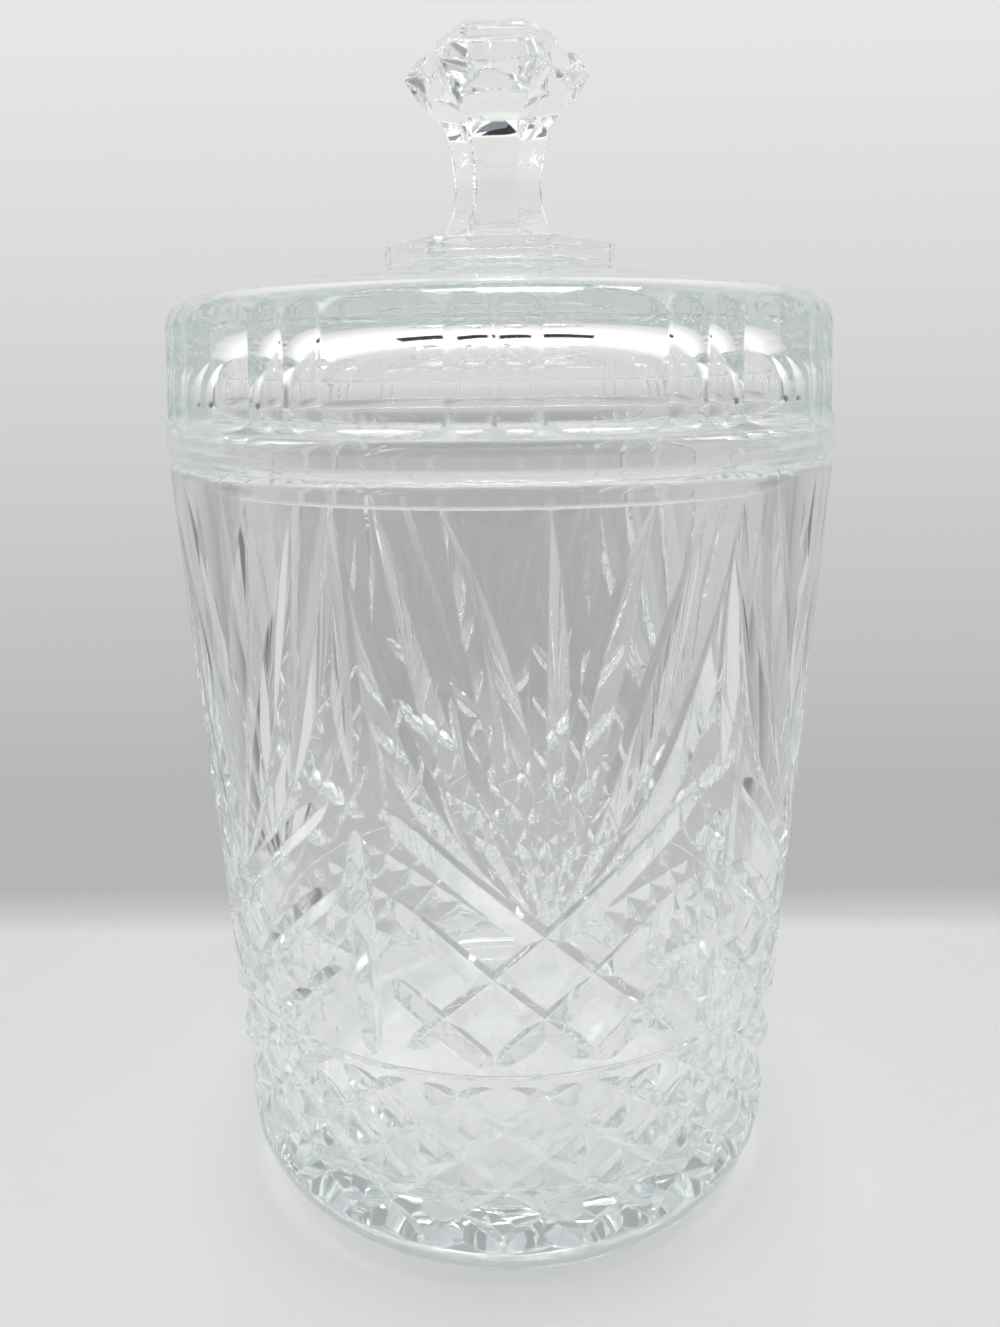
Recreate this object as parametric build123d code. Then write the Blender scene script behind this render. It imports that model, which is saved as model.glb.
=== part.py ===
"""Cut-crystal biscuit jar: a tapered jar body with cut fans, crossed mitre cuts
and a diamond base band, a deep fluted cap lid that sits on the rim, and a
faceted finial bonded to the middle of the lid.

Millimetres, +Z up, origin at the centre of the foot. The middle of one cut fan
faces -Y. Angles round the jar are turned from there towards +X, in degrees.
"""
from build123d import *
import math
import os

# ---- Jar body -------------------------------------------------------------
BODY_HEIGHT = 169.0        # foot to rim
MOUTH_RADIUS = 71.0        # outside, at the rim
WALL_TAPER = 2.67          # lean of the side, from vertical
HEEL_RADIUS = 15.0         # rounding between side and foot
WALL = 6.5                 # glass in the side, measured level
FLOOR = 15.0               # glass in the bottom, above the foot
INNER_HEEL = 10.0          # rounding between side and floor, inside
RIM_ROUND = 2.0            # fire-polished edges of the rim
FOOT_HOLLOW_RADIUS = 40.0  # the shallow hollow under the foot
FOOT_HOLLOW_RISE = 2.0

# ---- Cuts in the body -----------------------------------------------------
FANS = 6                   # fans round the jar, each over a crossed panel
CUT_OVER = 1.5             # how far a cutting wheel stands out of the glass
POINTED = 1.0              # share of its depth that a cut has lost at its ends
SQUARE = 0.1
POINTED_REACH = 1.2        # a wheel goes on this far past the ends of a pointed cut
LEAF_DEPTH = 1.9           # deepest place of a leaf cut
LEAF_HALF_ANGLE = 63.0     # half the angle of its mitre wheel
# Leaves of half a fan: turn and drop below the rim of the tip, and turn and rise
# above the ring of the root.
LEAVES = (
    ((0.0, 3.5), (0.0, 33.7)),
    ((14.0, 4.0), (1.0, 34.2)),
    ((23.5, 6.0), (3.6, 35.2)),
    ((29.0, 10.5), (8.0, 36.7)),
)
DIVIDER = (5.0, 58.7)      # upright leaf between two fans: drop and rise of its ends
STRAP_DEPTH = 2.2
STRAP_HALF_ANGLE = 50.0
# Straps of half a panel: turn and rise above the ring of both ends; each has a
# mirror twin.
STRAPS = (
    ((-25.5, 55.7), (23.5, 4.7)),
    ((-25.5, 37.7), (8.5, 2.7)),
    ((-25.5, 19.7), (-9.0, 2.7)),
)
POST = (50.7, 1.7)         # upright cut between two panels: rise of its ends
RING_HEIGHT = 55.3         # thin ring under the crossed panels
RING_DEPTH = 0.5
RING_HALF_ANGLE = 50.0
DIAMONDS = 24              # diamonds round the base band
BAND_CUT = ((6.4, 53.0), (-37.7, 13.0))
BAND_DEPTH = 2.1
BAND_HALF_ANGLE = 62.0

# ---- Lid ------------------------------------------------------------------
LID_RADIUS = 71.2          # outside, where it meets the rim
LID_TAPER = 3.2            # lean of the skirt, from vertical
LID_EDGE_HEIGHT = 30.8     # rim to the corner where skirt and dome would meet
LID_CENTRE_HEIGHT = 38.2   # rim to the middle of the dome
SHOULDER_RADIUS = 7.0
LID_WALL = 6.0             # glass of skirt and dome
LID_INNER_SHOULDER = 14.0
LIP_DROP = 5.0             # locating lip, down into the mouth
LIP_CLEARANCE = 1.0        # between lip and mouth, all round
LIP_THICKNESS = 3.2
PLAIN_BAND = 7.4           # skirt below the flutes
LIP_TOP = 5.4              # where the inside of the lip turns out to the skirt
LIP_SLOPE = 4.0            # rise of the slope from there to the skirt
LIP_ROUND = 0.8
LID_RIM_ROUND = 2.0
FLUTE_UNITS = 12           # each one wide flute and a pair of narrow ones
LID_TURN = 7.8             # a wide flute stands this far round from the fan
FLUTE_SCOOP = 2.5          # height of the slope at the foot of a flute
WIDE_FLUTE_HALF = 8.5      # half the turn that the flute covers
WIDE_FLUTE_RADIUS = 60.0
NARROW_FLUTE_HALF = 3.1
NARROW_FLUTE_RADIUS = 7.5
NARROW_FLUTE_OFFSET = 3.3  # from the middle of the pair
SEAT_RADIUS = 18.0         # flat seat of the finial
SEAT_RISE = 0.5            # above the middle of the dome

# ---- Finial ---------------------------------------------------------------
FINIAL_SIDES = 6
FINIAL_TURN = -11.5        # a corner stands this far round from +X
PLATE_RADIUS = 24.7        # corner radius of the foot plate
PLATE_THICKNESS = 4.2
# Height above the plate and corner radius of each change of the stem.
STEM = ((0.0, 12.1), (2.8, 11.1), (6.0, 9.8), (11.3, 9.2), (15.9, 9.6), (22.4, 10.8))
# Height above the plate, radius of the petals, radius of the valleys between and
# the share of each valley that is one flat facet.
FLOWER = ((22.4, 10.8, 9.35, 0.95), (27.4, 16.2, 11.9, 0.55), (31.9, 19.3, 13.6, 0.03),
          (35.8, 16.4, 12.8, 0.03), (36.9, 12.8, 11.09, 0.95), (39.1, 12.2, 10.57, 0.95),
          (40.2, 10.9, 9.44, 0.95))


def side_radius(height):
    """Outside radius of the jar's side at a height."""
    return MOUTH_RADIUS - (BODY_HEIGHT - height) * math.tan(math.radians(WALL_TAPER))


def turned(shape, turn):
    """A shape built on +X, turned to its place round the jar."""
    return Rot(0, 0, turn - 90) * shape


def revolved(outline):
    """A body of revolution from an outline of radius and height."""
    return revolve(Plane.XZ * outline, Axis.Z)


def rounded(outline, corners):
    """The outline with the corners nearest to some places rounded."""
    for place, radius in corners:
        corner = outline.vertices().sort_by_distance(Vector(*place, 0))[0]
        outline = fillet(corner, radius)
    return outline


# ---- Mitre cuts -----------------------------------------------------------
def mitre_cutter(start, end, depth, half_angle, lost):
    """The wheel that makes one V cut between two places on the side.

    lost is the share of the depth that is gone at both ends, so the path of the
    wheel follows the glass but for a bend that makes up that difference.
    """
    turn = (start[0] + end[0]) / 2
    height = (start[1] + end[1]) / 2
    radius = side_radius(height)
    across = math.radians(end[0] - start[0]) * radius
    along = end[1] - start[1]
    half_length = math.hypot(across, along) / 2
    lean = math.atan2(across, along)
    path_bend = 2 * lost * depth / half_length**2 - math.sin(lean) ** 2 / radius
    path_radius = 1 / path_bend
    reach = POINTED_REACH if lost == POINTED else 1
    arc = 2 * reach * math.degrees(half_length / abs(path_radius))
    rise = depth + CUT_OVER
    spread = rise * math.tan(math.radians(half_angle))
    mitre = make_face(Polyline((0, 0), (rise, spread), (rise, -spread), close=True))
    axis = Axis((path_radius, 0, 0), (0, 1, 0))
    wheel = revolve(mitre, axis, arc).rotate(axis, -arc / 2)
    place = Pos(radius - depth, 0, height) * Rot(0, WALL_TAPER, 0)
    return turned(place * Rot(-math.degrees(lean), 0, 0) * wheel, turn)


def mirrored_ends(ends):
    """The same cut on the other side of the fan's middle."""
    return tuple((-turn, height) for turn, height in ends)


def with_mirror(ends, wheel):
    """A cut and its twin on the other side of the fan's middle."""
    return [mitre_cutter(*ends, *wheel), mitre_cutter(*mirrored_ends(ends), *wheel)]


def fan_cutters():
    """Leaves, divider, post and straps of one fan and the panel below it."""
    side = 180 / FANS
    leaf = (LEAF_DEPTH, LEAF_HALF_ANGLE, POINTED)
    strap = (STRAP_DEPTH, STRAP_HALF_ANGLE, SQUARE)
    divider = ((side, BODY_HEIGHT - DIVIDER[0]), (side, RING_HEIGHT + DIVIDER[1]))
    post = ((side, RING_HEIGHT + POST[0]), (side, RING_HEIGHT + POST[1]))
    cutters = [mitre_cutter(*divider, *leaf), mitre_cutter(*post, *strap)]
    leaves = [((tip_turn, BODY_HEIGHT - drop), (root_turn, RING_HEIGHT + rise))
              for (tip_turn, drop), (root_turn, rise) in LEAVES]
    cutters.append(mitre_cutter(*leaves[0], *leaf))
    for ends in leaves[1:]:
        cutters += with_mirror(ends, leaf)
    for ends in STRAPS:
        cutters += with_mirror([(turn, RING_HEIGHT + rise) for turn, rise in ends], strap)
    return cutters


def band_cutters():
    """One cut of the base band and its mirror twin, which cross as diamonds."""
    return with_mirror(BAND_CUT, (BAND_DEPTH, BAND_HALF_ANGLE, SQUARE))


def ring_cutter():
    """The wheel that turns the thin ring round the side."""
    rise = RING_DEPTH + CUT_OVER
    spread = rise * math.tan(math.radians(RING_HALF_ANGLE))
    inner = side_radius(RING_HEIGHT) - RING_DEPTH
    return revolved(make_face(Polyline(
        (inner, RING_HEIGHT), (inner + rise, RING_HEIGHT + spread),
        (inner + rise, RING_HEIGHT - spread), close=True)))


# ---- Pieces ---------------------------------------------------------------
def jar_blank():
    """The jar before cutting: side, heel, floor and shallow hollow foot."""
    foot = side_radius(0)
    mouth = MOUTH_RADIUS - WALL
    floor_edge = side_radius(FLOOR) - WALL
    outline = make_face(Polyline(
        (0, FOOT_HOLLOW_RISE), (FOOT_HOLLOW_RADIUS, 0), (foot, 0),
        (MOUTH_RADIUS, BODY_HEIGHT), (mouth, BODY_HEIGHT),
        (floor_edge, FLOOR), (0, FLOOR), close=True))
    outline = rounded(outline, (
        ((foot, 0), HEEL_RADIUS), ((floor_edge, FLOOR), INNER_HEEL),
        ((MOUTH_RADIUS, BODY_HEIGHT), RIM_ROUND), ((mouth, BODY_HEIGHT), RIM_ROUND)))
    return revolved(outline)


def make_jar_body():
    """The jar body with all its cuts."""
    fan = fan_cutters()
    band = band_cutters()
    cutters = [ring_cutter()]
    for number in range(FANS):
        cutters += [Rot(0, 0, number * 360 / FANS) * cutter for cutter in fan]
    for number in range(DIAMONDS):
        cutters += [Rot(0, 0, number * 360 / DIAMONDS) * cutter for cutter in band]
    return jar_blank() - cutters


def lid_blank():
    """The lid before fluting: skirt, shoulder, dome and locating lip."""
    rim = BODY_HEIGHT
    slope = math.tan(math.radians(LID_TAPER))
    edge = LID_RADIUS - LID_EDGE_HEIGHT * slope
    lip_outer = MOUTH_RADIUS - WALL - LIP_CLEARANCE
    lip_inner = lip_outer - LIP_THICKNESS
    skirt_foot = LIP_TOP + LIP_SLOPE
    inside = LID_RADIUS - LID_WALL
    roof_edge = LID_EDGE_HEIGHT - LID_WALL
    centre = rim + LID_CENTRE_HEIGHT
    seat = centre + SEAT_RISE
    dome = ThreePointArc(
        (edge, rim + LID_EDGE_HEIGHT), dome_point(edge, edge / 2), dome_point(edge, SEAT_RADIUS))
    outline = make_face([
        Polyline((SEAT_RADIUS, dome_point(edge, SEAT_RADIUS)[1]), (SEAT_RADIUS, seat), (0, seat),
                 (0, centre - LID_WALL), (inside - roof_edge * slope, rim + roof_edge),
                 (inside - skirt_foot * slope, rim + skirt_foot),
                 (lip_inner, rim + LIP_TOP), (lip_inner, rim - LIP_DROP),
                 (lip_outer, rim - LIP_DROP), (lip_outer, rim), (LID_RADIUS, rim),
                 (edge, rim + LID_EDGE_HEIGHT)),
        dome])
    return revolved(rounded(outline, (
        ((edge, rim + LID_EDGE_HEIGHT), SHOULDER_RADIUS),
        ((inside - roof_edge * slope, rim + roof_edge), LID_INNER_SHOULDER),
        ((LID_RADIUS, rim), LID_RIM_ROUND), ((lip_outer, rim - LIP_DROP), LIP_ROUND))))


def dome_point(edge, radius):
    """The outside of the dome at a radius, as radius and height."""
    drop = (LID_CENTRE_HEIGHT - LID_EDGE_HEIGHT) * (radius / edge) ** 2
    return (radius, BODY_HEIGHT + LID_CENTRE_HEIGHT - drop)


def flute_cutter(turn, half_turn, radius):
    """An upright round tool that leaves one flute, scooped at its foot, up to an arch."""
    bottom = BODY_HEIGHT + PLAIN_BAND
    skirt = LID_RADIUS - PLAIN_BAND * math.tan(math.radians(LID_TAPER))
    half_width = skirt * math.sin(math.radians(half_turn))
    chord = skirt * math.cos(math.radians(half_turn))
    centre = chord + math.sqrt(radius**2 - half_width**2)
    upright = (Align.CENTER, Align.CENTER, Align.MIN)
    tool = Cone(radius - FLUTE_SCOOP, radius, FLUTE_SCOOP, align=upright)
    tool += Pos(0, 0, FLUTE_SCOOP) * Cylinder(radius, 2 * LID_CENTRE_HEIGHT, align=upright)
    lean = Pos(chord, 0, bottom) * Rot(0, -LID_TAPER, 0) * Pos(centre - chord, 0, 0)
    return turned(lean * tool, turn)


def make_lid():
    """The lid with its flutes."""
    pitch = 360 / FLUTE_UNITS
    cutters = []
    for number in range(FLUTE_UNITS):
        turn = LID_TURN + number * pitch
        cutters.append(flute_cutter(turn, WIDE_FLUTE_HALF, WIDE_FLUTE_RADIUS))
        for side in (-1, 1):
            cutters.append(flute_cutter(
                turn + pitch / 2 + side * NARROW_FLUTE_OFFSET,
                NARROW_FLUTE_HALF, NARROW_FLUTE_RADIUS))
    return lid_blank() - cutters


def petal_face(height, petal, valley, facet):
    """A level face with a petal at each corner and a flat facet in each valley."""
    points = []
    for number in range(FINIAL_SIDES):
        turns = [math.pi * (2 * number + step) / FINIAL_SIDES for step in range(3)]
        before, middle, after = (Vector(radius * math.cos(angle), radius * math.sin(angle))
                                 for angle, radius in zip(turns, (petal, valley, petal)))
        points += [before, middle + (before - middle) * facet, middle + (after - middle) * facet]
    return Pos(0, 0, height) * make_face(Polyline(*points, close=True))


def make_finial():
    """Foot plate, faceted stem and six-petalled flower, one piece of glass."""
    base = BODY_HEIGHT + LID_CENTRE_HEIGHT + SEAT_RISE
    plate = extrude(RegularPolygon(PLATE_RADIUS, FINIAL_SIDES), PLATE_THICKNESS)
    stem = loft([Pos(0, 0, PLATE_THICKNESS + height) * RegularPolygon(radius, FINIAL_SIDES)
                 for height, radius in STEM], ruled=True)
    flower = loft([petal_face(PLATE_THICKNESS + height, *shape) for height, *shape in FLOWER], ruled=True)
    return Pos(0, 0, base) * Rot(0, 0, FINIAL_TURN) * (plate + stem + flower)


PIECES = {
    "jar_body": make_jar_body,
    "lid": make_lid,
    "lid_finial": make_finial,
}

os.makedirs("parts", exist_ok=True)
for name, make in PIECES.items():
    export_step(make(), f"parts/{name}.step")
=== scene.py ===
"""Finish for a cut-crystal biscuit jar: jar body, lid and finial as clear crystal,
on a plain pale table in front of a plain pale wall.

Lengths that belong to the jar are in millimetres and are turned to metres where a
mesh is made. Turns round the jar are degrees from the front (-Y) towards +X.
"""
import math

import bmesh
import bpy
from bpy.props import FloatProperty, FloatVectorProperty, IntProperty, PointerProperty
from mathutils import Matrix, Vector


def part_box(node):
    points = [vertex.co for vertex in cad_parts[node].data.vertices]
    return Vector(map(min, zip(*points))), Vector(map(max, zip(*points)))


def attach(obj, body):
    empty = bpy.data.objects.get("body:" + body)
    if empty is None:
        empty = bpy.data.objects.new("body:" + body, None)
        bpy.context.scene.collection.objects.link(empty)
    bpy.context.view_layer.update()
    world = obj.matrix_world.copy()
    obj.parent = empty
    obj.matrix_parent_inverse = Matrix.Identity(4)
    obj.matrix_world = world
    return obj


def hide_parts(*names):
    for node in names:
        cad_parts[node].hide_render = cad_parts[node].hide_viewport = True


bl_info = {
    "name": "Crystal Biscuit Jar",
    "version": (1, 0, 0),
    "blender": (4, 5, 0),
    "location": "View3D > Sidebar > Crystal Jar",
    "description": "Builds a cut-crystal biscuit jar with a fluted lid and a faceted finial",
    "category": "Object",
}

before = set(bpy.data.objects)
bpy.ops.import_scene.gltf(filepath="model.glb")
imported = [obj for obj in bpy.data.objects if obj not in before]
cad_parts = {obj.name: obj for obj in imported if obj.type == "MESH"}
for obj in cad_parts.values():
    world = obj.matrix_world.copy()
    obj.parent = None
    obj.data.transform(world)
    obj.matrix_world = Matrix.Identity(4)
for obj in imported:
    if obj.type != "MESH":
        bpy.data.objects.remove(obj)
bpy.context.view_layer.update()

MM = 0.001                 # a millimetre, in metres


# ---- Sizes shared by pieces, in millimetres ------------------------------------
RIM_HEIGHT = round(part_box("jar_body")[1][2] / MM, 2)
MOUTH_RADIUS = 71.0        # outside, at the rim
WALL_TAPER = math.radians(2.67)
WALL = 6.5                 # glass in the side, measured level
SEAM_GAP = 0.08            # air between two pieces that rest on each other
SPIN_STEPS = 288           # faces round a turned piece
CORNER_STEP = math.radians(6)
ON_AXIS = 1e-6             # a point this near to the axis is on it


def side_radius(height):
    """Outside radius of the jar's side at a height."""
    return MOUTH_RADIUS - (RIM_HEIGHT - height) * math.tan(WALL_TAPER)


def on_side(turn, height):
    """A point on the side and its normal, from its turn and height."""
    angle = math.radians(turn)
    radius = side_radius(height)
    point = Vector((radius * math.sin(angle), -radius * math.cos(angle), height))
    normal = Vector((
        math.sin(angle) * math.cos(WALL_TAPER), -math.cos(angle) * math.cos(WALL_TAPER),
        -math.sin(WALL_TAPER)))
    return point, normal


# ---- Mesh helpers --------------------------------------------------------------
def mesh_object(name, bm):
    """A new object whose mesh is bm, which is in millimetres, turned to metres."""
    bmesh.ops.scale(bm, vec=(MM, MM, MM), verts=bm.verts)
    mesh = bpy.data.meshes.new(name)
    bm.to_mesh(mesh)
    bm.free()
    obj = bpy.data.objects.new(name, mesh)
    bpy.context.scene.collection.objects.link(obj)
    return obj


def rounded_outline(corners):
    """Points of an outline from corners of radius, height and rounding."""
    points = []
    for index, (r, z, rounding) in enumerate(corners):
        here = Vector((r, z))
        if not rounding:
            points.append(here)
            continue
        before = (Vector(corners[index - 1][:2]) - here).normalized()
        after = (Vector(corners[(index + 1) % len(corners)][:2]) - here).normalized()
        half = before.angle(after) / 2
        centre = here + (before + after).normalized() * rounding / math.sin(half)
        start = here + before * rounding / math.tan(half) - centre
        end = here + after * rounding / math.tan(half) - centre
        sweep = start.angle_signed(end)
        count = max(2, math.ceil(abs(sweep) / CORNER_STEP))
        for number in range(count + 1):
            points.append(centre + Matrix.Rotation(-sweep * number / count, 2) @ start)
    return points


def ring_of(bm, point):
    """Vertices round the axis through a point of radius and height, or one on the axis."""
    if point.x < ON_AXIS:
        return [bm.verts.new((0, 0, point.y))]
    return [bm.verts.new((point.x * math.cos(a), point.x * math.sin(a), point.y))
            for a in (math.tau * n / SPIN_STEPS for n in range(SPIN_STEPS))]


def spun(points, closed=False):
    """A closed body of revolution from an outline that starts and ends on the axis,
    or from a closed outline clear of it."""
    bm = bmesh.new()
    rings = [ring_of(bm, point) for point in points]
    for low, high in zip(rings, rings[1:] + rings[:1] * closed):
        for number in range(SPIN_STEPS):
            after = (number + 1) % SPIN_STEPS
            corners = [low[number % len(low)], low[after % len(low)],
                       high[after % len(high)], high[number % len(high)]]
            unique = list(dict.fromkeys(corners))
            if len(unique) > 2:
                bm.faces.new(unique)
    bmesh.ops.recalc_face_normals(bm, faces=bm.faces)
    return bm


def tube(sections):
    """A closed body through sections with the same number of points."""
    bm = bmesh.new()
    rings = [[bm.verts.new(point) for point in section] for section in sections]
    sides = len(rings[0])
    for low, high in zip(rings, rings[1:]):
        for number in range(sides):
            after = (number + 1) % sides
            bm.faces.new((low[number], low[after], high[after], high[number]))
    bm.faces.new(reversed(rings[0]))
    bm.faces.new(rings[-1])
    bmesh.ops.recalc_face_normals(bm, faces=bm.faces)
    return bm


# ---- Cutting wheels ------------------------------------------------------------
CUT_STEPS = 22             # sections along a cut
CUT_OVER = 1.5             # how far a wheel stands out of the glass
PATH_OVER = 1.06           # a wheel's path goes on past the ends of its cut
PATH_STEP = 0.01           # share of the path over which its direction is taken
LONG_RUN_OUT = 2.0         # power of the rise at the ends: one long curve
SHORT_RUN_OUT = 12.0       # a cut that keeps its depth and ends short


def path_point(path, share):
    """Turn and height along a bent path of start, bend and end."""
    start, bend, end = (Vector(place) for place in path)
    back = 1 - share
    return back * back * start + 2 * back * share * bend + share * share * end


def mitre_cutter(name, path, depth, half_angle, run_out):
    """One V cut along a path on the side, which rises out of the glass at its ends.

    Its sections stand closer together there, where the cut's depth changes fastest.
    """
    spread = math.tan(half_angle)
    sections = []
    for number in range(CUT_STEPS + 1):
        from_middle = 0.5 * PATH_OVER * math.sin(math.pi * (number / CUT_STEPS - 0.5))
        share = 0.5 + from_middle
        turn, height = path_point(path, share)
        here, normal = on_side(turn, height)
        ahead, _ = on_side(*path_point(path, share + PATH_STEP))
        behind, _ = on_side(*path_point(path, share - PATH_STEP))
        across = normal.cross(ahead - behind).normalized()
        deep = max(depth * (1 - abs(2 * from_middle) ** run_out), -0.5 * CUT_OVER)
        reach = (deep + CUT_OVER) * spread
        top = here + normal * CUT_OVER
        sections.append((here - normal * deep, top + across * reach, top - across * reach))
    return mesh_object(name, tube(sections))


def straight(start, end):
    """The path of a straight cut."""
    return (start, tuple((a + b) / 2 for a, b in zip(start, end)), end)


def mirrored(path):
    """The same path on the other side of the fan's middle."""
    return tuple((-turn, height) for turn, height in path)


# ---- Nodes ---------------------------------------------------------------------
SHARP_ANGLE = math.radians(14)


def add_node(tree, kind, settings=None, links=None):
    """Adds a node, sets its properties and inputs, and links its inputs."""
    node = tree.nodes.new(kind)
    for key, value in (settings or {}).items():
        if isinstance(key, str) and hasattr(node, key):
            setattr(node, key, value)
        else:
            node.inputs[key].default_value = value
    for key, source in (links or {}).items():
        tree.links.new(source, node.inputs[key])
    return node


def cut_round_tree(name, cutters):
    """A node tree that cuts a blank with one wheel after another, each set round +Z.

    cutters maps each wheel's label to its object and its number of copies.
    """
    tree = bpy.data.node_groups.new(name, "GeometryNodeTree")
    face = tree.interface
    face.new_socket("Blank", in_out="INPUT", socket_type="NodeSocketGeometry")
    face.new_socket("Material", in_out="INPUT", socket_type="NodeSocketMaterial")
    for label, (_, copies) in cutters.items():
        face.new_socket(label, in_out="INPUT", socket_type="NodeSocketObject")
        count = face.new_socket(f"{label} copies", in_out="INPUT", socket_type="NodeSocketInt")
        count.default_value = copies
        count.min_value = 1
    face.new_socket("Cut glass", in_out="OUTPUT", socket_type="NodeSocketGeometry")
    given = add_node(tree, "NodeGroupInput")
    glass = given.outputs["Blank"]
    index = add_node(tree, "GeometryNodeInputIndex")
    for label in cutters:
        copies = given.outputs[f"{label} copies"]
        wheel = add_node(tree, "GeometryNodeObjectInfo", None, {"Object": given.outputs[label]})
        places = add_node(tree, "GeometryNodePoints", None, {"Count": copies})
        step = add_node(tree, "ShaderNodeMath", {"operation": "DIVIDE", 0: math.tau}, {1: copies})
        turn = add_node(tree, "ShaderNodeMath", {"operation": "MULTIPLY"},
                        {0: index.outputs[0], 1: step.outputs[0]})
        rotation = add_node(tree, "ShaderNodeCombineXYZ", None, {"Z": turn.outputs[0]})
        placed = add_node(tree, "GeometryNodeInstanceOnPoints", None, {
            "Points": places.outputs[0], "Instance": wheel.outputs["Geometry"],
            "Rotation": rotation.outputs[0]})
        real = add_node(tree, "GeometryNodeRealizeInstances", None, {0: placed.outputs[0]})
        cut = add_node(tree, "GeometryNodeMeshBoolean",
                       {"operation": "DIFFERENCE", "solver": "MANIFOLD"},
                       {"Mesh 1": glass, "Mesh 2": real.outputs[0]})
        glass = cut.outputs["Mesh"]
    whole = add_node(tree, "GeometryNodeRealizeInstances", None, {0: glass})
    painted = add_node(tree, "GeometryNodeSetMaterial", None,
                       {"Geometry": whole.outputs[0], "Material": given.outputs["Material"]})
    add_node(tree, "NodeGroupOutput", None, {0: painted.outputs[0]})
    return tree


def cut_glass(blank, cutters, material):
    """Cuts the blank with its node tree and leaves a plain mesh in its place."""
    tree = cut_round_tree(f"{blank.name}_cuts", cutters)
    sockets = {item.name: item.identifier for item in tree.interface.items_tree
               if item.in_out == "INPUT"}
    modifier = blank.modifiers.new("cuts", "NODES")
    modifier.node_group = tree
    modifier[sockets["Material"]] = material
    for label, (cutter, copies) in cutters.items():
        modifier[sockets[label]] = cutter
        modifier[sockets[f"{label} copies"]] = copies
    blank.data = applied_mesh(blank)
    for cutter, _ in cutters.values():
        bpy.data.objects.remove(cutter)
    return smooth_by_angle(blank)


def applied_mesh(obj):
    """The object's evaluated mesh, with its modifiers removed from the object."""
    depsgraph = bpy.context.evaluated_depsgraph_get()
    mesh = bpy.data.meshes.new_from_object(obj.evaluated_get(depsgraph), depsgraph=depsgraph)
    mesh.name = obj.name
    obj.modifiers.clear()
    return mesh


def smooth_by_angle(obj):
    """Smooth glass with crisp edges where it was cut."""
    obj.data.shade_smooth()
    obj.data.set_sharp_from_angle(angle=SHARP_ANGLE)
    return obj


# ---- Materials -----------------------------------------------------------------
def srgb(code):
    """A linear colour from an sRGB hex code."""
    channels = [int(code[i:i + 2], 16) / 255 for i in (1, 3, 5)]
    return tuple(c / 12.92 if c <= 0.04045 else ((c + 0.055) / 1.055) ** 2.4
                 for c in channels) + (1.0,)


def new_material(name):
    """An empty node material and its tree."""
    material = bpy.data.materials.new(name)
    material.use_nodes = True
    material.node_tree.nodes.clear()
    return material, material.node_tree


CRYSTAL = "lead_crystal_fire_polished"
CRYSTAL_IOR = 1.545        # lead crystal with about a quarter of lead oxide
CRYSTAL_DEPTH = 3.0        # how fast the green comes in, per metre
EDGE_ROUND = 0.6           # polishing softens every cut edge, in millimetres
EDGE_SAMPLES = 4
WAVE_LENGTH = 9.0          # waviness from the mould: its length and height, in millimetres
WAVE_HEIGHT = 0.15
WAVE_STRENGTH = 0.12


def crystal_material():
    """Lead crystal, pressed, mitre cut and fire polished: clear, with softened bright
    edges, a faint cool green where it is thick and a faint waviness from the mould.
    All pieces share it."""
    made = bpy.data.materials.get(CRYSTAL)
    if made:
        return made
    material, tree = new_material(CRYSTAL)
    place = add_node(tree, "ShaderNodeTexCoord")
    wave = add_node(tree, "ShaderNodeTexNoise", {"Scale": 1 / (WAVE_LENGTH * MM), "Detail": 1.0},
                    {"Vector": place.outputs["Object"]})
    edge = add_node(tree, "ShaderNodeBevel", {"samples": EDGE_SAMPLES, "Radius": EDGE_ROUND * MM})
    bump = add_node(tree, "ShaderNodeBump", {"Strength": WAVE_STRENGTH, "Distance": WAVE_HEIGHT * MM},
                    {"Height": wave.outputs[0], "Normal": edge.outputs[0]})
    glass = add_node(tree, "ShaderNodeBsdfPrincipled", {
        "Base Color": srgb("#FFFFFF"), "Roughness": 0.0, "IOR": CRYSTAL_IOR, "Transmission Weight": 1.0},
        {"Normal": bump.outputs[0]})
    inside = add_node(tree, "ShaderNodeVolumeAbsorption", {
        "Color": srgb("#D4E8E6"), "Density": CRYSTAL_DEPTH})
    add_node(tree, "ShaderNodeOutputMaterial", None,
             {"Surface": glass.outputs[0], "Volume": inside.outputs[0]})
    return material


# ---- Jar body ------------------------------------------------------------------
FANS = 6
# Paths of half a fan's leaves: turn and height of the root, the bend and the tip.
LEAVES = (
    ((0.0, 89.0), (0.0, 127.0), (0.0, 165.5)),
    ((0.9, 89.5), (6.0, 133.0), (14.5, 165.0)),
    ((2.4, 90.5), (15.0, 121.0), (23.0, 163.0)),
    ((4.2, 92.0), (25.5, 115.0), (29.5, 159.0)),
)
# Straps of half a panel, each with a mirror twin: turn and height of both ends.
STRAPS = (
    ((-25.5, 111.0), (23.5, 60.0)),
    ((-25.5, 93.0), (8.5, 58.0)),
    ((-25.5, 75.0), (-9.0, 58.0)),
)
DIVIDER = ((30.0, 164.0), (30.0, 114.0))
POST = ((30.0, 106.0), (30.0, 57.0))
RING_HEIGHT = 55.3         # thin ring under the crossed panels
RING_DEPTH = 0.5
RING_HALF_ANGLE = math.radians(50.0)
DIAMONDS = 24
BAND_CUT = ((6.4, 53.0), (-37.7, 13.0))
FLOOR = 15.0               # glass in the bottom, above the foot
HEEL_RADIUS = 15.0
INNER_HEEL = 10.0
RIM_ROUND = 2.0
FOOT_HOLLOW_RADIUS = 40.0
FOOT_HOLLOW_RISE = 2.0


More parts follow.
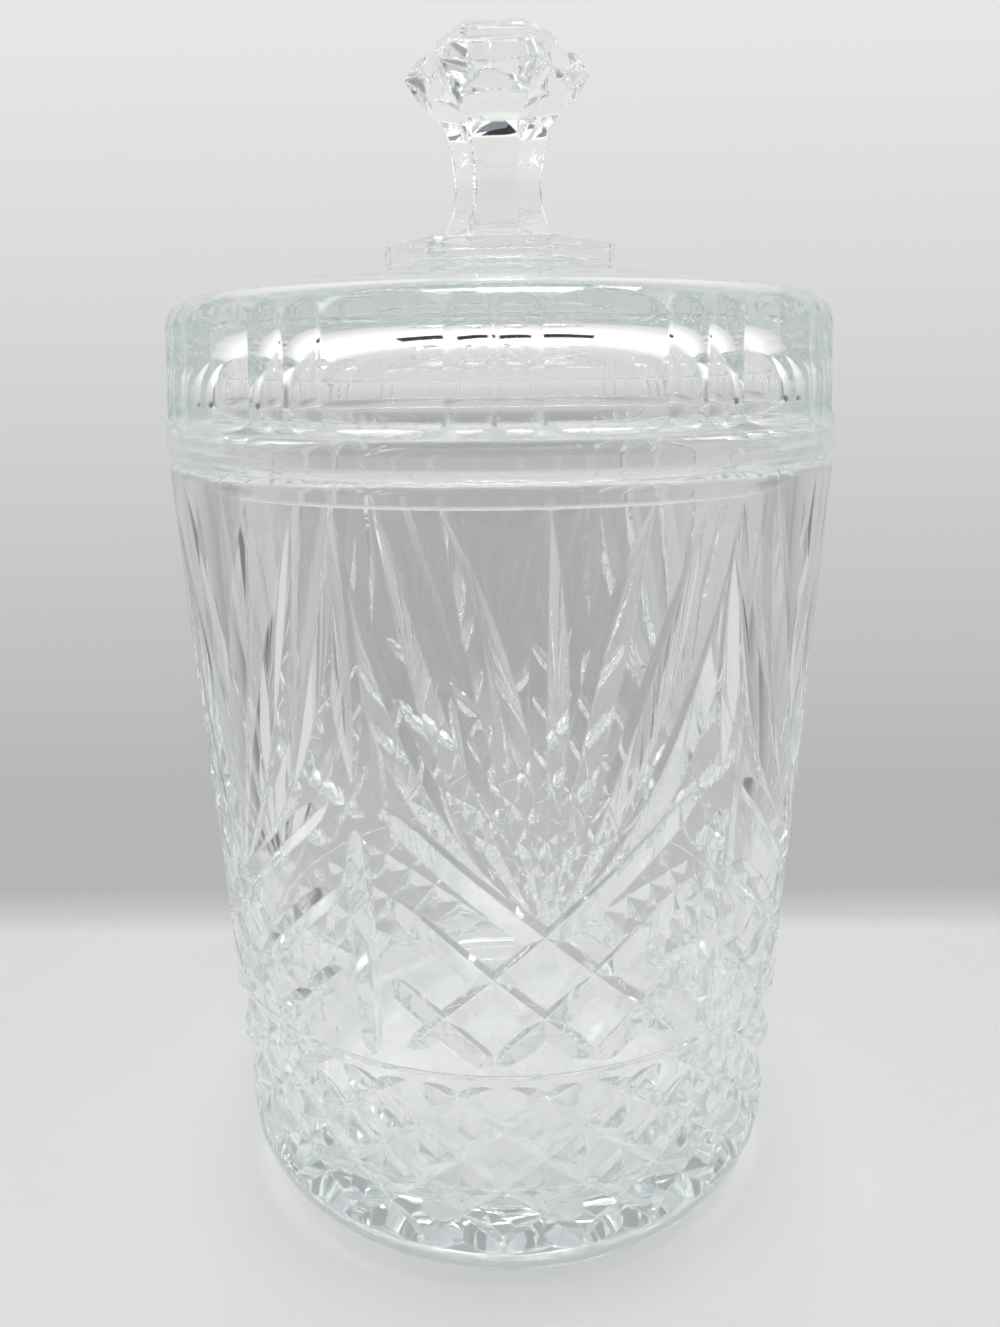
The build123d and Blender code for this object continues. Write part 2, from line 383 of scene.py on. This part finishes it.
def ring_cutter(name):
    """The wheel that turns the thin ring round the side, as a closed hoop."""
    rise = RING_DEPTH + CUT_OVER
    spread = rise * math.tan(RING_HALF_ANGLE)
    inner = side_radius(RING_HEIGHT) - RING_DEPTH
    section = [Vector((inner, RING_HEIGHT)), Vector((inner + rise, RING_HEIGHT + spread)),
               Vector((inner + rise, RING_HEIGHT - spread))]
    return mesh_object(name, spun(section, closed=True))


def body_outline():
    """Outline of the uncut jar, from under the foot round to the floor inside."""
    return rounded_outline((
        (0, FOOT_HOLLOW_RISE, 0), (FOOT_HOLLOW_RADIUS, 0, 0), (side_radius(0), 0, HEEL_RADIUS),
        (MOUTH_RADIUS, RIM_HEIGHT, RIM_ROUND), (MOUTH_RADIUS - WALL, RIM_HEIGHT, RIM_ROUND),
        (side_radius(FLOOR) - WALL, FLOOR, INNER_HEEL), (0, FLOOR, 0)))


def build_body(settings):
    """Jar body: an uncut jar, cut by its fans, diamond band and ring."""
    leaf = (settings.leaf_depth / MM, settings.leaf_half_angle, LONG_RUN_OUT)
    strap = (settings.strap_depth / MM, settings.strap_half_angle, SHORT_RUN_OUT)
    band = (settings.band_depth / MM, settings.band_half_angle, SHORT_RUN_OUT)
    fan = {"leaf 0": (LEAVES[0], leaf), "divider": (straight(*DIVIDER), leaf),
           "post": (straight(*POST), strap)}
    for number, path in enumerate(LEAVES[1:], 1):
        fan[f"leaf {number} right"] = (path, leaf)
        fan[f"leaf {number} left"] = (mirrored(path), leaf)
    for number, ends in enumerate(STRAPS):
        fan[f"strap {number} right"] = (straight(*ends), strap)
        fan[f"strap {number} left"] = (mirrored(straight(*ends)), strap)
    diamonds = {"diamond right": (straight(*BAND_CUT), band),
                "diamond left": (mirrored(straight(*BAND_CUT)), band)}
    cutters = {}
    for wheels, copies in ((fan, settings.fans), (diamonds, settings.diamonds)):
        for label, (path, wheel) in wheels.items():
            cutters[label] = (mitre_cutter(label, path, *wheel), copies)
    cutters["ring"] = (ring_cutter("ring"), 1)
    blank = mesh_object("jar_body_crystal", spun(body_outline()))
    dress(cut_glass(blank, cutters, crystal_material()), "jar", "jar_body")


def dress(piece, body, node):
    """Rides the piece on its body in place of its CAD node."""
    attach(piece, body)
    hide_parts(node)


# ---- Lid -----------------------------------------------------------------------
LID_RADIUS = 71.2          # outside, where it meets the rim
LID_TAPER = math.radians(3.2)
LID_EDGE_HEIGHT = 30.8     # rim to the corner where skirt and dome would meet
LID_CENTRE_HEIGHT = 38.2   # rim to the middle of the dome
SHOULDER_RADIUS = 7.0
LID_WALL = 6.0
LID_INNER_SHOULDER = 14.0
LIP_DROP = 5.0             # locating lip, down into the mouth
LIP_CLEARANCE = 1.0
LIP_THICKNESS = 3.2
PLAIN_BAND = 7.4           # skirt below the flutes
LIP_TOP = 5.4              # where the inside of the lip turns out to the skirt
LIP_SLOPE = 4.0            # rise of the slope from there to the skirt
SLOPE_ROUND = 5.0          # rounding of both ends of that slope
LIP_ROUND = 0.8
LID_RIM_ROUND = 2.0
FLUTE_UNITS = 12           # each one wide flute and a pair of narrow ones
FLUTE_SCOOP = 2.5          # rounding in which a flute ends at its foot
SCOOP_STEPS = 8
FLUTE_STEPS = 20           # faces across a flute's tool
FLUTE_REACH = 1.6          # the tool is this much wider than its flute
LID_TURN = 7.8             # a wide flute stands this far round from the fan
WIDE_FLUTE = (8.5, 60.0)   # half the turn that it covers, and its tool's radius
NARROW_FLUTE = (3.1, 7.5)
NARROW_OFFSET = 3.3        # from the middle of the pair
SEAT_RADIUS = 18.0         # flat seat of the finial
SEAT_RISE = 0.5            # above the middle of the dome
DOME_STEPS = 10
DOME_SHARE = 0.8           # share of the lid's edge that the dome's curve reaches


def lid_outline():
    """Outline of the lid before fluting, from the roof inside round to the seat."""
    rim = RIM_HEIGHT + SEAM_GAP
    slope = math.tan(LID_TAPER)
    edge = LID_RADIUS - LID_EDGE_HEIGHT * slope
    lip_outer = MOUTH_RADIUS - WALL - LIP_CLEARANCE
    lip_inner = lip_outer - LIP_THICKNESS
    skirt_foot = LIP_TOP + LIP_SLOPE
    inside = LID_RADIUS - LID_WALL
    roof_edge = LID_EDGE_HEIGHT - LID_WALL
    centre = RIM_HEIGHT + LID_CENTRE_HEIGHT
    drop = LID_CENTRE_HEIGHT - LID_EDGE_HEIGHT
    corners = [
        (0, centre - LID_WALL, 0),
        (inside - roof_edge * slope, RIM_HEIGHT + roof_edge, LID_INNER_SHOULDER),
        (inside - skirt_foot * slope, RIM_HEIGHT + skirt_foot, SLOPE_ROUND),
        (lip_inner, RIM_HEIGHT + LIP_TOP, SLOPE_ROUND), (lip_inner, RIM_HEIGHT - LIP_DROP, 0),
        (lip_outer, RIM_HEIGHT - LIP_DROP, LIP_ROUND), (lip_outer, rim, 0),
        (LID_RADIUS, rim, LID_RIM_ROUND), (edge, RIM_HEIGHT + LID_EDGE_HEIGHT, SHOULDER_RADIUS)]
    for number in range(DOME_STEPS + 1):
        radius = edge * DOME_SHARE + (SEAT_RADIUS - edge * DOME_SHARE) * number / DOME_STEPS
        corners.append((radius, centre - drop * (radius / edge) ** 2, 0))
    corners += [(SEAT_RADIUS, centre + SEAT_RISE, 0), (0, centre + SEAT_RISE, 0)]
    return rounded_outline(corners)


def flute_cutter(name, turn, half_turn, radius):
    """An upright round tool that leaves one flute, scooped at its foot, up to an arch."""
    foot = RIM_HEIGHT + PLAIN_BAND
    skirt = LID_RADIUS - PLAIN_BAND * math.tan(LID_TAPER)
    half_width = skirt * math.sin(math.radians(half_turn))
    chord = skirt * math.cos(math.radians(half_turn))
    centre = chord + math.sqrt(radius**2 - half_width**2)
    sweep = min(FLUTE_REACH * math.asin(half_width / radius), math.pi / 2)
    angles = [sweep * (2 * n / FLUTE_STEPS - 1) for n in range(FLUTE_STEPS + 1)]
    far = centre + radius
    lean = Matrix.Translation((chord, 0, 0)) @ Matrix.Rotation(-LID_TAPER, 4, "Y") @ \
        Matrix.Translation((-chord, 0, 0))
    place = Matrix.Rotation(math.radians(turn - 90), 4, "Z") @ Matrix.Translation((0, 0, foot)) @ lean
    scoop = [(FLUTE_SCOOP * (1 - math.cos(a)), radius - FLUTE_SCOOP * (1 - math.sin(a)))
             for a in (math.pi / 2 * n / SCOOP_STEPS for n in range(SCOOP_STEPS + 1))]
    sections = []
    for height, tool in (*scoop, (2 * LID_CENTRE_HEIGHT, radius)):
        outline = [Vector((centre - tool * math.cos(a), tool * math.sin(a), height)) for a in angles]
        outline += [Vector((far, outline[-1].y, height)), Vector((far, outline[0].y, height))]
        sections.append([place @ point for point in outline])
    return mesh_object(name, tube(sections))


def build_lid(settings):
    """Lid: an uncut lid, cut by its wide and narrow flutes."""
    units = settings.flute_units
    pair = LID_TURN + 180 / units
    cutters = {"wide flute": (flute_cutter("wide flute", LID_TURN, *WIDE_FLUTE), units)}
    for side, label in ((-1, "left flute"), (1, "right flute")):
        cutter = flute_cutter(label, pair + side * NARROW_OFFSET, *NARROW_FLUTE)
        cutters[label] = (cutter, units)
    blank = mesh_object("lid_crystal", spun(lid_outline()))
    dress(cut_glass(blank, cutters, crystal_material()), "lid", "lid")


# ---- Finial --------------------------------------------------------------------
FINIAL_SIDES = 6
FINIAL_TURN = math.radians(-11.5)
PLATE_RADIUS = 24.7        # corner radius of the foot plate
PLATE_THICKNESS = 4.2
POLISH_ANGLE = math.radians(12)
SAME_POINT = 0.001
# Height above the plate and corner radius of each change of the stem.
STEM = ((0.0, 12.1), (2.8, 11.1), (6.0, 9.8), (11.3, 9.2), (15.9, 9.6), (22.4, 10.8))
# Height above the plate, radius of the petals and of the valleys between, and the
# share of each valley that is one flat facet.
FLOWER = ((27.4, 16.2, 11.9, 0.55), (31.9, 19.3, 13.6, 0.0), (35.8, 16.4, 12.8, 0.0),
          (36.9, 12.8, 11.6, 1.0), (39.1, 12.2, 10.9, 1.0), (40.2, 10.9, 9.7, 1.0))


def petal_ring(height, petal, valley, facet):
    """Points of a level ring with a petal at each corner and a flat facet in each valley.

    facet is the share of the way from the valley's middle to the petals that is flat.
    """
    def spot(number, radius):
        angle = math.pi * number / FINIAL_SIDES + FINIAL_TURN
        return Vector((radius * math.cos(angle), radius * math.sin(angle), height))

    ring = []
    for number in range(FINIAL_SIDES):
        before, after = spot(2 * number, petal), spot(2 * number + 2, petal)
        middle = spot(2 * number + 1, valley)
        ring += [before, middle.lerp(before, facet), middle.lerp(after, facet)]
    return ring


def build_finial(settings):
    """Finial: foot plate, faceted stem and flower with softly polished edges."""
    seat = RIM_HEIGHT + LID_CENTRE_HEIGHT + SEAT_RISE
    top = seat + PLATE_THICKNESS
    flat = math.cos(math.pi / FINIAL_SIDES)
    rings = [petal_ring(seat + SEAM_GAP, PLATE_RADIUS, PLATE_RADIUS * flat, 1.0),
             petal_ring(top, PLATE_RADIUS, PLATE_RADIUS * flat, 1.0)]
    rings += [petal_ring(top + height, radius, radius * flat, 1.0) for height, radius in STEM]
    rings += [petal_ring(top + height, petal, valley, facet) for height, petal, valley, facet in FLOWER]
    bm = tube(rings)
    bmesh.ops.remove_doubles(bm, verts=bm.verts, dist=SAME_POINT)
    finial = mesh_object("lid_finial_crystal", bm)
    bevel = finial.modifiers.new("polished edges", "BEVEL")
    bevel.width = settings.edge_width
    bevel.segments = 1
    bevel.limit_method = "ANGLE"
    bevel.angle_limit = POLISH_ANGLE
    finial.data = applied_mesh(finial)
    finial.data.materials.append(crystal_material())
    dress(smooth_by_angle(finial), "lid", "lid_finial")


# ---- Stage ---------------------------------------------------------------------
FRONT_TURN = 5.0           # the camera stands this far round from the fan's middle
CAMERA_RADIUS = 246.66
CAMERA_TURN = math.radians(-(1.436 + FRONT_TURN))
CAMERA_HEIGHT = 187.25
CAMERA_HEADING = math.radians(1.272 + FRONT_TURN)
CAMERA_PITCH = 0.2665
CAMERA_ROLL = -0.0118
CAMERA_LENS = 29.634
CAMERA_NEAR = 10.0
LIGHT_PATH_STEPS = 48      # thick cut glass turns light round many times inside
STAGE_HALF = 900.0         # half the width of table and wall
TABLE_DROP = 0.05          # keeps the table's face clear of the foot's
WALL_TURN = math.radians(-7.0)
WALL_DEPTH = 100.0         # from the jar's axis to the wall
WALL_SPAN = (-60.0, 700.0)
TABLE_FADE = 10.0          # painted shade: the table darkens over this distance to the foot of the wall
# Painted light and shade of the wall: the way that each goes, where it starts and ends,
# its values there and its curve. "tone" is painted shade that greys the wall low down,
# "sides" painted shade at its far sides and "middle" a painted shadow of the jar straight
# behind it, which "middle starts" lifts off the foot. The crystal's cuts pick up these soft
# dark places, and "shade ends" ends "sides" and "middle" below the lid. "top" is painted
# light that brightens the wall high up, and "foot" painted light along its foot.
WALL_RAMPS = {
    "tone": ("up", 45.0, 285.0, 0.0, 1.0, "LINEAR"),
    "sides": ("aside", 190.0, 420.0, 0.0, 0.68, "SMOOTHSTEP"),
    "middle": ("aside", 45.0, 95.0, 0.34, 0.0, "SMOOTHSTEP"),
    "middle starts": ("up", 45.0, 80.0, 0.0, 1.0, "LINEAR"),
    "shade ends": ("up", 135.0, 168.0, -1.0, 0.0, "SMOOTHSTEP"),
    "top": ("up", 285.0, 650.0, 1.0, 2.0, "LINEAR"),
    "foot": ("up", -4.0, 14.0, 1.34, 1.0, "SMOOTHSTEP"),
}
WORLD_RAMP = (0.15, 0.65)  # sines of the angles up at which the sky starts and stops paling
# Cards over the jar, each as left, right, front, back and height. The flags keep a thin
# dark line in the lid's bright band and dark spots in the neck; the lamps give the glints.
BLACK_FLAGS = ((-150, 150, 0, 100, 690), (-110, -50, -165, -143, 650))
GREY_FLAGS = ((-140, -50, -143, -105, 650), (140, 260, -275, -214, 650),
              (-460, -345, -110, -80, 650))
LAMPS = ((-200, 200, -220, -20, 900), (230, 350, -120, 60, 900), (-370, -250, -120, 60, 900))
LAMP_STRENGTH = 12.0


def build_camera():
    """The camera, level with the lid and close, looking a little down."""
    place = Vector((math.sin(CAMERA_TURN), -math.cos(CAMERA_TURN), 0)) * CAMERA_RADIUS
    place.z = CAMERA_HEIGHT
    ahead = Vector((math.sin(CAMERA_HEADING) * math.cos(CAMERA_PITCH),
                    math.cos(CAMERA_HEADING) * math.cos(CAMERA_PITCH), -math.sin(CAMERA_PITCH)))
    right = ahead.cross(Vector((0, 0, 1))).normalized()
    up = right.cross(ahead)
    roll = Matrix.Rotation(CAMERA_ROLL, 3, -ahead)
    right, up = roll @ right, roll @ up
    data = bpy.data.cameras.new("camera")
    data.lens = CAMERA_LENS
    data.clip_start = CAMERA_NEAR * MM
    camera = bpy.data.objects.new("camera", data)
    turned = Matrix((right, up, -ahead)).transposed().to_4x4()
    camera.matrix_world = Matrix.Translation(place * MM) @ turned
    bpy.context.scene.collection.objects.link(camera)
    bpy.context.scene.camera = camera


def stage_sheet(name, outlines, material, turn=0.0):
    """Flat sheets of one material that belong to the stage, turned round +Z."""
    bm = bmesh.new()
    rotation = Matrix.Rotation(turn, 4, "Z")
    for corners in outlines:
        bm.faces.new([bm.verts.new(rotation @ Vector(corner)) for corner in corners])
    sheet = mesh_object(name, bm)
    sheet.data.materials.append(material)
    return sheet


def laminate_material(colour):
    """White laminate, pressed between smooth plates: pale, with a soft dull sheen. Painted shade
    darkens it a little along the foot of the wall, as a table does in a room's light."""
    material, tree = new_material("white_laminate_table")
    place = add_node(tree, "ShaderNodeTexCoord")
    to_wall = (-math.sin(WALL_TURN), math.cos(WALL_TURN), 0)
    depth = add_node(tree, "ShaderNodeVectorMath", {"operation": "DOT_PRODUCT", 1: to_wall},
                     {0: place.outputs["Object"]})
    behind = add_node(tree, "ShaderNodeMath", {"operation": "SUBTRACT", 1: WALL_DEPTH * MM},
                      {0: depth.outputs["Value"]})
    away = add_node(tree, "ShaderNodeMath", {"operation": "ABSOLUTE"}, {0: behind.outputs[0]})
    wall_foot_shade = add_node(tree, "ShaderNodeMapRange", {
        "From Min": 0.0, "From Max": TABLE_FADE * MM, "To Min": 1.0, "To Max": 0.0},
        {"Value": away.outputs[0]})
    # Painted shade: the table greys to #D2D2D3 at the foot of the wall.
    tone = add_node(tree, "ShaderNodeMix", {"data_type": "RGBA", 6: colour, 7: srgb("#D2D2D3")},
                    {"Factor": wall_foot_shade.outputs[0]})
    paint = add_node(tree, "ShaderNodeBsdfPrincipled", {"Roughness": 0.6},
                     {"Base Color": tone.outputs[2]})
    add_node(tree, "ShaderNodeOutputMaterial", None, {"Surface": paint.outputs[0]})
    return material


def wall_material(colour):
    """Matt emulsion on plaster, rolled: a flat pale white without sheen. Painted shade greys it
    low down where the room's light does not reach, with a painted shadow of the jar straight
    behind it and painted shade at its far sides, and painted light brightens it high up and
    along its foot. It shines by itself, so that no lamp is needed behind the jar, and is
    clear from behind."""
    material, tree = new_material("matt_white_wall")
    place = add_node(tree, "ShaderNodeTexCoord")
    split = add_node(tree, "ShaderNodeSeparateXYZ", None, {0: place.outputs["Object"]})
    aside = add_node(tree, "ShaderNodeMath", {"operation": "ABSOLUTE"}, {0: split.outputs["X"]})
    ways = {"up": split.outputs["Z"], "aside": aside.outputs[0]}
    ramps = {}
    for name, (way, start, end, first, last, curve) in WALL_RAMPS.items():
        ramp = add_node(tree, "ShaderNodeMapRange", {
            "interpolation_type": curve, "From Min": start * MM, "From Max": end * MM,
            "To Min": first, "To Max": last}, {"Value": ways[way]})
        ramps[name] = ramp.outputs[0]
    # Painted shade: the colour greys to #B6B5B7 low down.
    tone = add_node(tree, "ShaderNodeMix", {"data_type": "RGBA", 6: srgb("#B6B5B7"), 7: colour},
                    {"Factor": ramps["tone"]})
    # Painted shadow of the jar straight behind it and painted shade at the far sides, both ending below
    # the lid.
    shadow = add_node(tree, "ShaderNodeMath", {"operation": "MULTIPLY_ADD"},
                      {0: ramps["middle"], 1: ramps["middle starts"], 2: ramps["sides"]})
    level = add_node(tree, "ShaderNodeMath", {"operation": "MULTIPLY_ADD", 2: 1.0},
                     {0: shadow.outputs[0], 1: ramps["shade ends"]})
    # Painted light: the wall is brighter high up and along its foot.
    upper = add_node(tree, "ShaderNodeMath", {"operation": "MULTIPLY"},
                     {0: level.outputs[0], 1: ramps["top"]})
    strength = add_node(tree, "ShaderNodeMath", {"operation": "MULTIPLY"},
                        {0: upper.outputs[0], 1: ramps["foot"]})
    glow = add_node(tree, "ShaderNodeEmission", None,
                    {"Color": tone.outputs[2], "Strength": strength.outputs[0]})
    clear = add_node(tree, "ShaderNodeBsdfTransparent")
    side = add_node(tree, "ShaderNodeNewGeometry")
    mix = add_node(tree, "ShaderNodeMixShader", None, {
        "Fac": side.outputs["Backfacing"], 1: glow.outputs[0], 2: clear.outputs[0]})
    add_node(tree, "ShaderNodeOutputMaterial", None, {"Surface": mix.outputs[0]})
    return material


def card_material(name, colour, strength):
    """Card or lamp cloth that shines evenly at one level, with no grain to be seen."""
    material, tree = new_material(name)
    glow = add_node(tree, "ShaderNodeEmission", {"Color": srgb(colour), "Strength": strength})
    add_node(tree, "ShaderNodeOutputMaterial", None, {"Surface": glow.outputs[0]})
    return material


def build_cards():
    """Level cards over the jar that only the glass sees, so they add nothing to the
    table's light."""
    for name, boxes, colour, strength in (
            ("black_flags", BLACK_FLAGS, "#191A1C", 1.0), ("grey_flags", GREY_FLAGS, "#838B91", 1.0),
            ("warm_lamps", LAMPS, "#FFFDFA", LAMP_STRENGTH)):
        outlines = [[(left, front, height), (right, front, height), (right, back, height),
                     (left, back, height)] for left, right, front, back, height in boxes]
        card = stage_sheet(name, outlines, card_material(name, colour, strength))
        card.visible_camera = False
        card.visible_diffuse = False


def build_world(strength):
    """An even studio sky, white overhead and grey at the height of the table."""
    world = bpy.data.worlds.new("studio")
    world.use_nodes = True
    tree = world.node_tree
    tree.nodes.clear()
    place = add_node(tree, "ShaderNodeTexCoord")
    split = add_node(tree, "ShaderNodeSeparateXYZ", None, {0: place.outputs["Generated"]})
    ramp = add_node(tree, "ShaderNodeMapRange", {
        "interpolation_type": "SMOOTHSTEP", "From Min": WORLD_RAMP[0], "From Max": WORLD_RAMP[1]},
        {"Value": split.outputs["Z"]})
    shade = add_node(tree, "ShaderNodeMix", {
        "data_type": "RGBA", 6: srgb("#949496"), 7: srgb("#FFFFFF")}, {"Factor": ramp.outputs[0]})
    light = add_node(tree, "ShaderNodeBackground", {"Strength": strength}, {"Color": shade.outputs[2]})
    add_node(tree, "ShaderNodeOutputWorld", None, {0: light.outputs[0]})
    bpy.context.scene.world = world


def build_stage(settings):
    """Table, wall, overhead cards, world light and camera."""
    half, low, high = STAGE_HALF, *WALL_SPAN
    table = [(-half, -half, -TABLE_DROP), (half, -half, -TABLE_DROP),
             (half, half, -TABLE_DROP), (-half, half, -TABLE_DROP)]
    wall = [(-half, WALL_DEPTH, low), (half, WALL_DEPTH, low),
            (half, WALL_DEPTH, high), (-half, WALL_DEPTH, high)]
    stage_sheet("table", [table], laminate_material(settings.table_colour), WALL_TURN)
    sheet = stage_sheet("wall", [wall], wall_material(settings.wall_colour), WALL_TURN)
    sheet.visible_diffuse = False
    build_cards()
    build_world(settings.light)
    scene = bpy.context.scene
    scene.view_settings.view_transform = "Standard"
    scene.cycles.max_bounces = LIGHT_PATH_STEPS
    scene.cycles.transmission_bounces = LIGHT_PATH_STEPS
    scene.cycles.glossy_bounces = LIGHT_PATH_STEPS
    scene.cycles.blur_glossy = 0.0
    build_camera()


# ---- Add-on --------------------------------------------------------------------
class JarBodySettings(bpy.types.PropertyGroup):
    """Sizes of the jar body's cuts."""
    fans: IntProperty(name="Fans", description="Cut fans round the jar", default=FANS, min=3)
    diamonds: IntProperty(name="Diamonds", description="Diamonds round the base band",
                          default=DIAMONDS, min=6)
    leaf_depth: FloatProperty(name="Leaf depth", description="Deepest place of a leaf cut",
                              default=1.9 * MM, unit="LENGTH")
    leaf_half_angle: FloatProperty(name="Leaf wheel", description="Half the angle of the leaves' wheel",
                                   default=math.radians(63.0), subtype="ANGLE")
    strap_depth: FloatProperty(name="Strap depth", description="Deepest place of a strap cut",
                               default=2.2 * MM, unit="LENGTH")
    strap_half_angle: FloatProperty(name="Strap wheel", description="Half the angle of the straps' wheel",
                                    default=math.radians(50.0), subtype="ANGLE")
    band_depth: FloatProperty(name="Diamond depth", description="Deepest place of a diamond cut",
                              default=2.1 * MM, unit="LENGTH")
    band_half_angle: FloatProperty(name="Diamond wheel", description="Half the angle of the band's wheel",
                                   default=math.radians(62.0), subtype="ANGLE")


class LidSettings(bpy.types.PropertyGroup):
    """Sizes of the lid."""
    flute_units: IntProperty(name="Flute units", description="Wide flutes round the lid",
                             default=FLUTE_UNITS, min=3)


class FinialSettings(bpy.types.PropertyGroup):
    """Sizes of the finial."""
    edge_width: FloatProperty(name="Polished edge", description="Width of the softened edges",
                              default=0.25 * MM, unit="LENGTH")


class StageSettings(bpy.types.PropertyGroup):
    """Colours and light of the stage."""
    table_colour: FloatVectorProperty(name="Table", description="Colour of the table", subtype="COLOR",
                                      size=4, default=srgb("#E1E1E2"), min=0, max=1)
    wall_colour: FloatVectorProperty(name="Wall", description="Colour of the wall high up",
                                     subtype="COLOR", size=4, default=srgb("#E8E7E6"), min=0, max=1)
    light: FloatProperty(name="Light", description="Strength of the sky's light", default=1.09, min=0)


class JAR_OT_body(bpy.types.Operator):
    """Build the cut jar body"""
    bl_idname = "jar.body"
    bl_label = "Jar Body"

    def execute(self, context):
        build_body(context.scene.jar_body_settings)
        return {"FINISHED"}


class JAR_OT_lid(bpy.types.Operator):
    """Build the fluted lid"""
    bl_idname = "jar.lid"
    bl_label = "Lid"

    def execute(self, context):
        build_lid(context.scene.jar_lid_settings)
        return {"FINISHED"}


class JAR_OT_finial(bpy.types.Operator):
    """Build the faceted finial"""
    bl_idname = "jar.finial"
    bl_label = "Finial"

    def execute(self, context):
        build_finial(context.scene.jar_finial_settings)
        return {"FINISHED"}


class JAR_OT_stage(bpy.types.Operator):
    """Build the table, wall, light and camera"""
    bl_idname = "jar.stage"
    bl_label = "Stage"

    def execute(self, context):
        build_stage(context.scene.jar_stage_settings)
        return {"FINISHED"}


class JAR_PT_panel(bpy.types.Panel):
    """Lists the pieces of the jar and their settings"""
    bl_idname = "JAR_PT_panel"
    bl_label = "Crystal Jar"
    bl_space_type = "VIEW_3D"
    bl_region_type = "UI"
    bl_category = "Crystal Jar"

    def draw(self, context):
        for operator, (name, settings) in zip(OPERATORS, SETTINGS.items()):
            for size in settings.__annotations__:
                self.layout.prop(getattr(context.scene, name), size)
            self.layout.operator(operator.bl_idname)


OPERATORS = (JAR_OT_body, JAR_OT_lid, JAR_OT_finial, JAR_OT_stage)
SETTINGS = {
    "jar_body_settings": JarBodySettings,
    "jar_lid_settings": LidSettings,
    "jar_finial_settings": FinialSettings,
    "jar_stage_settings": StageSettings,
}
CLASSES = (*SETTINGS.values(), *OPERATORS, JAR_PT_panel)


def register():
    """Registers the classes and hangs their settings on the scene."""
    for cls in CLASSES:
        bpy.utils.register_class(cls)
    for name, cls in SETTINGS.items():
        setattr(bpy.types.Scene, name, PointerProperty(type=cls))


def unregister():
    """Takes the settings off the scene and unregisters the classes."""
    for name in SETTINGS:
        delattr(bpy.types.Scene, name)
    for cls in reversed(CLASSES):
        bpy.utils.unregister_class(cls)


def main():
    """Registers the add-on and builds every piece."""
    register()
    bpy.ops.jar.stage()
    bpy.ops.jar.body()
    bpy.ops.jar.lid()
    bpy.ops.jar.finial()
    bpy.context.view_layer.update()


if __name__ == "__main__":
    main()
